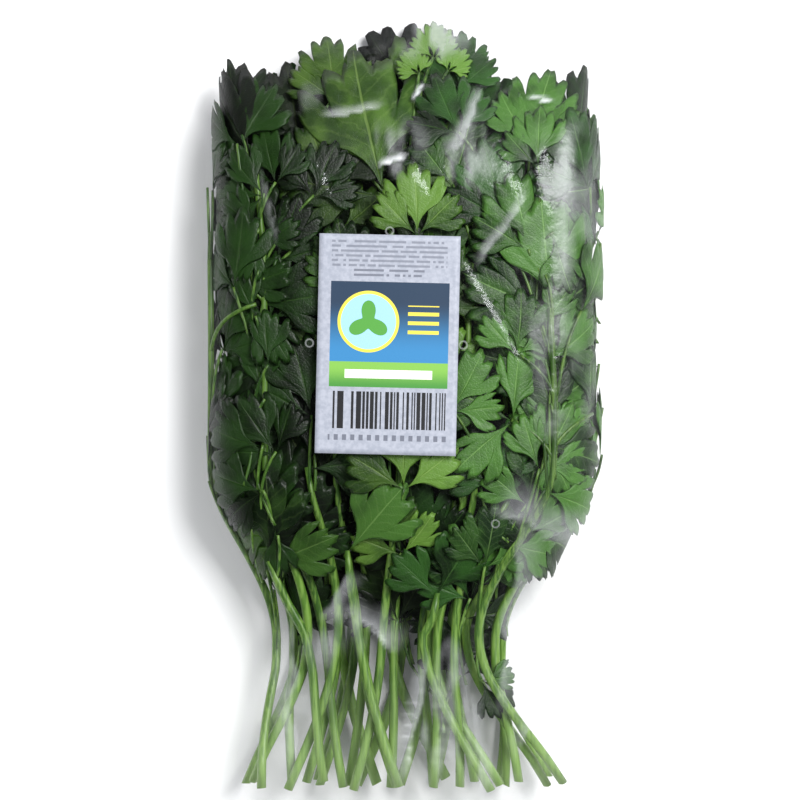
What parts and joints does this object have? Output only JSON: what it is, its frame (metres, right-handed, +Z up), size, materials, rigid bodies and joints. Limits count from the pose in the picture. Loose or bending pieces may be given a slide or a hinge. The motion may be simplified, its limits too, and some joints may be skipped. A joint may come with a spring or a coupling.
{
  "type": "parsley bunch",
  "caption": "Bunch of flat-leaf parsley lying in a clear film bag with a paper label: forked leafy stems with toothed three-lobed leaflets, gathered at the cut ends.",
  "frame": {"origin": "on the resting face, under the middle of the bag", "axes": "+Y from the cut stem ends to the leaf tips, +X across the bunch, +Z up from the table"},
  "size_m": [0.142, 0.286, 0.0453],
  "materials": {
    "leaf_green_light": "matte",
    "leaf_green": "matte",
    "leaf_green_dark": "matte",
    "clear_film": "gloss",
    "label_paper": "matte"
  },
  "bodies": {
    "root": {"leafy_stem_01": "leaf_green", "leafy_stem_02": "leaf_green", "leafy_stem_03": "leaf_green_dark", "leafy_stem_04": "leaf_green", "leafy_stem_05": "leaf_green_dark", "leafy_stem_06": "leaf_green", "leafy_stem_07": "leaf_green_light", "leafy_stem_08": "leaf_green", "leafy_stem_09": "leaf_green_dark", "leafy_stem_10": "leaf_green_dark", "leafy_stem_11": "leaf_green_dark", "leafy_stem_12": "leaf_green_dark", "leafy_stem_13": "leaf_green", "leafy_stem_14": "leaf_green", "leafy_stem_15": "leaf_green", "leafy_stem_16": "leaf_green", "leafy_stem_17": "leaf_green_dark", "leafy_stem_18": "leaf_green_dark", "leafy_stem_19": "leaf_green", "leafy_stem_20": "leaf_green_dark", "leafy_stem_21": "leaf_green_dark", "leafy_stem_22": "leaf_green_dark", "leafy_stem_23": "leaf_green", "leafy_stem_24": "leaf_green_dark", "leafy_stem_25": "leaf_green_dark", "leafy_stem_26": "leaf_green", "leafy_stem_27": "leaf_green_dark", "leafy_stem_28": "leaf_green_dark", "leafy_stem_29": "leaf_green_light", "leafy_stem_30": "leaf_green_light", "leafy_stem_31": "leaf_green", "leafy_stem_32": "leaf_green_dark", "leafy_stem_33": "leaf_green_dark", "film_bag": "clear_film", "label": "label_paper"}
  },
  "joints": []
}
